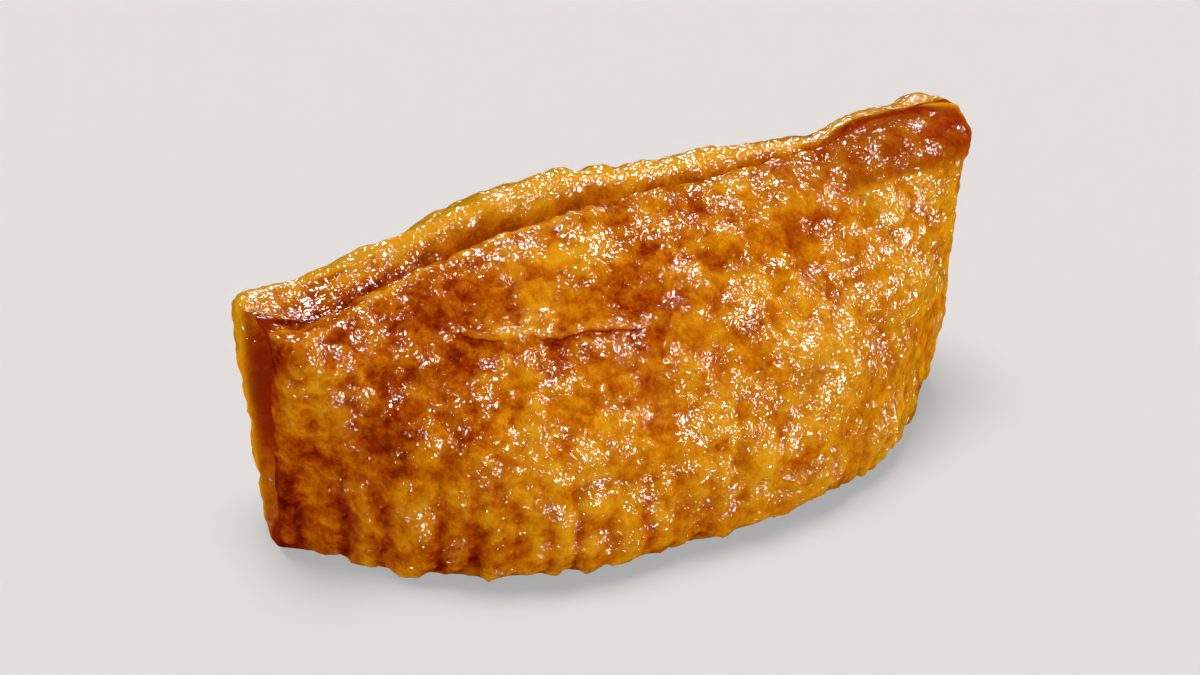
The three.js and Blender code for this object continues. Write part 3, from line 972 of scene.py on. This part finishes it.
def crumpled_normal(nodes, edges, crack):
    """The wet film's normal: folds and sharp ridges as bumps, and small facets that each tilt their way.

    A facet's tilt is the random colour of its cell, in a place that noise has moved. Where the skin
    is wettest the film lies calmer.
    """
    calm = nodes.stretch(nodes.value("wet"), *CALM_WET, *CALM_TILT)
    folds = nodes.noise(FOLD_SIZE, detail=1.0, warp=0.6)
    film = nodes.add("Attribute", output="Vector", attribute_name="film_normal")
    film = nodes.add("VectorTransform", {"Vector": film}, vector_type="NORMAL", convert_from="OBJECT",
                     convert_to="WORLD")
    normal = nodes.add("Bump", {"Distance": FOLD_HEIGHT * MM, "Height": folds, "Normal": film})
    for edge, (size, height) in zip(edges, RIDGES):
        normal = nodes.add("Bump", {"Distance": height * MM, "Height": edge, "Normal": normal})
    normal = nodes.add("Bump", {"Distance": -CRACK_DEPTH * MM, "Height": crack, "Normal": normal})
    for size, squeeze, tilt in FACETS:
        place = nodes.vector("MULTIPLY", nodes.moved_place(size), squeeze)
        cell = nodes.add("TexVoronoi", {"Vector": place, "Scale": 1 / (size * MM)}, output="Color")
        turn = nodes.vector("SUBTRACT", cell, MIDDLE)
        turn = nodes.vector("MULTIPLY", turn, (2 * tilt, 2 * tilt, 2 * tilt))
        normal = nodes.vector("ADD", normal, nodes.vector("MULTIPLY", turn, calm))
    return nodes.vector("NORMALIZE", normal, (0, 0, 0))


def ridge_lines(nodes, size):
    """A net of crooked lines, 1 on a line and 0 away from it, round cells of about `size` millimetres."""
    edge = nodes.add("TexVoronoi", {"Vector": nodes.moved_place(size), "Scale": 1 / (size * MM)},
                     feature="DISTANCE_TO_EDGE")
    return nodes.stretch(edge, 0.0, RIDGE_WIDTH, 1.0, 0.0)


def crack_line(nodes):
    """1 on the crack's line and 0 a little away from it, fainter in places and where it closes."""
    distance = nodes.math("ABSOLUTE", nodes.value("crack"), 0.0)
    line = nodes.stretch(distance, 0.0, CRACK_WIDTH, 1.0, 0.0)
    line = nodes.math("MULTIPLY", line, nodes.stretch(nodes.noise(2.0), 0.3, 0.55, 0.3, 1.0))
    return nodes.math("MULTIPLY", line, nodes.value("crack_open"))


def film_cover(nodes, tone):
    """How thick the wet film is: patches of a few millimetres, more where the skin is pale and wet."""
    patches = nodes.noise(2.8, roughness=0.6)
    cover = nodes.math("MULTIPLY_ADD", nodes.value("wet"), FILM_COVER["wet"], patches)
    cover = nodes.math("MULTIPLY_ADD", tone, FILM_COVER["tone"], cover)
    return nodes.stretch(cover, FILM_COVER["low"], FILM_COVER["high"], FILM_COVER["least"], 1.0)


def tofu_finish():
    """Seasoned fried tofu: amber on what stands out, brown in what lies low, under a wet shine.

    The brown in what lies low is partly the skin's own and partly painted shade.
    """
    nodes = Nodes("fried_tofu_skin")
    lines = [ridge_lines(nodes, size) for size, height in RIDGES]
    crack = crack_line(nodes)
    # What makes the tone lighter or darker, each with its weight.
    parts = [
        # Lower relief is darker: partly the skin's own browner hollows, partly painted shade.
        (nodes.stretch(nodes.value("height"), -0.35, 0.25), 0.32),
        (nodes.stretch(nodes.value("broad"), -0.9, 0.9), 0.2),
        (nodes.stretch(nodes.noise(2.4, warp=0.5), 0.38, 0.62), 0.14),
        (nodes.noise(9.0, detail=1.0), 0.25),
        (nodes.noise(0.6, detail=1.0, warp=0.2), 0.24),
        (nodes.noise(0.28, detail=1.0, roughness=0.6), 0.2),
        # The browns worked out over the mesh, with their painted shade and painted light.
        (nodes.value("shade"), -0.2),
        (nodes.value("red"), -0.1),
        (lines[0], -0.06),
        (lines[1], -0.03),
        # The crack's dark line is painted shade in the fissure.
        (crack, -0.2),
    ]
    tone = TONE_START
    for value, weight in parts:
        tone = nodes.math("MULTIPLY_ADD", value, weight, tone)
    colour = nodes.ramp(tone, TONE_STOPS)
    red = nodes.math("MULTIPLY", nodes.value("red"), RED_BLEND)
    colour = nodes.blend(red, colour, REDDISH_BROWN)
    thin_glow = nodes.math("MULTIPLY", nodes.value("thin_glow"), GLOW_BLEND)
    colour = nodes.blend(thin_glow, colour, GLOW_YELLOW)
    shader = nodes.shader
    nodes.set(shader.inputs["Base Color"], colour)
    shader.inputs["Roughness"].default_value = 0.6
    shader.inputs["Specular IOR Level"].default_value = 0.0
    crinkle = nodes.noise(CRINKLE["size"], roughness=0.55, warp=1.0)
    bump = nodes.add("Bump", {"Strength": 0.7, "Distance": CRINKLE["height"] * MM, "Height": crinkle})
    nodes.set(shader.inputs["Normal"], bump)
    nodes.set(shader.inputs["Coat Weight"], film_cover(nodes, tone))
    nodes.set(shader.inputs["Coat Normal"], crumpled_normal(nodes, lines, crack))
    shader.inputs["Coat Roughness"].default_value = 0.03
    shader.inputs["Subsurface Weight"].default_value = 0.2
    shader.inputs["Subsurface Radius"].default_value = (1.0, 0.35, 0.08)
    shader.inputs["Subsurface Scale"].default_value = 0.8 * MM
    return nodes.material


# ---- Stage. ----

FLOOR_SIZE = 8.0
FLOOR_COLOUR = (0.86, 0.8, 0.77, 1)
# Each light: where it shines from, its strength, its apparent size in degrees, its colour and what
# it serves: soft light with shadows, fill light without them, or the shine of the film.
LIGHTS = {
    "overhead": ((0, 0.2, 0.97), 1.45, 26, (1, 0.97, 0.94), "soft"),
    "top": ((0, 0, 1), 0.28, 60, (0.95, 1, 1), "fill"),
    "front": ((0.55, -0.7, 0.35), 1.55, 60, (0.97, 1, 1), "fill"),
    "left": ((-0.95, 0.0, 0.15), 0.9, 60, (0.97, 1, 1), "fill"),
    "right_shine": ((0.62, -0.55, 0.55), 4.8, 27, (1, 0.93, 0.89), "shine"),
    "low_shine": ((0.68, -0.68, 0.17), 3.4, 22, (1, 0.93, 0.89), "shine"),
    "far_shine": ((0.9, 0.1, 0.4), 1.2, 13, (1, 0.93, 0.89), "shine"),
    "left_shine": ((-0.32, -0.78, 0.42), 3.0, 19, (1, 0.93, 0.89), "shine"),
    "back_shine": ((0.3, 0.65, 0.65), 5.2, 24, (1, 0.96, 0.93), "shine"),
}
SKY = (0.8, 0.95, 1.1, 1)
SKY_STRENGTH = 0.13


def add_floor():
    """A plain matt floor at the height that the pouch rests on."""
    finish = Nodes("floor")
    finish.shader.inputs["Base Color"].default_value = FLOOR_COLOUR
    finish.shader.inputs["Roughness"].default_value = 0.9
    finish.shader.inputs["Specular IOR Level"].default_value = 0.1
    half = FLOOR_SIZE / 2
    corners = [(-half, -half, 0), (half, -half, 0), (half, half, 0), (-half, half, 0)]
    mesh = bpy.data.meshes.new("floor")
    mesh.from_pydata(corners, [], [(0, 1, 2, 3)])
    mesh.materials.append(finish.material)
    floor = bpy.data.objects.new("floor", mesh)
    floor.visible_glossy = False
    bpy.context.scene.collection.objects.link(floor)


def add_light(name, source, strength, size, colour, serves):
    """A far light that shines from the direction `source`, as soft light, as fill or as shine."""
    data = bpy.data.lights.new(name, "SUN")
    data.energy = strength
    data.angle = math.radians(size)
    data.color = colour
    light = bpy.data.objects.new(name, data)
    light.rotation_mode = "QUATERNION"
    light.rotation_quaternion = Vector(source).to_track_quat("Z", "Y")
    light.visible_diffuse = serves != "shine"
    light.visible_glossy = serves == "shine"
    data.use_shadow = serves != "fill"
    bpy.context.scene.collection.objects.link(light)


def add_sky():
    """An even pale sky."""
    world = bpy.data.worlds.new("sky")
    world.use_nodes = True
    background = world.node_tree.nodes["Background"]
    background.inputs["Color"].default_value = SKY
    background.inputs["Strength"].default_value = SKY_STRENGTH
    world.cycles_visibility.glossy = False
    bpy.context.scene.world = world
    bpy.context.scene.view_settings.view_transform = "Standard"


skin, quads, film, values = skin_surface()
tofu = tofu_finish()
pouch = new_piece("tofu_skin", skin, quads, tofu, values, film)
# The floor takes the pouch's shadow, but none of the colour that the pouch would throw on it.
pouch.visible_diffuse = False

add_floor()
add_sky()
for name, settings in LIGHTS.items():
    add_light(name, *settings)
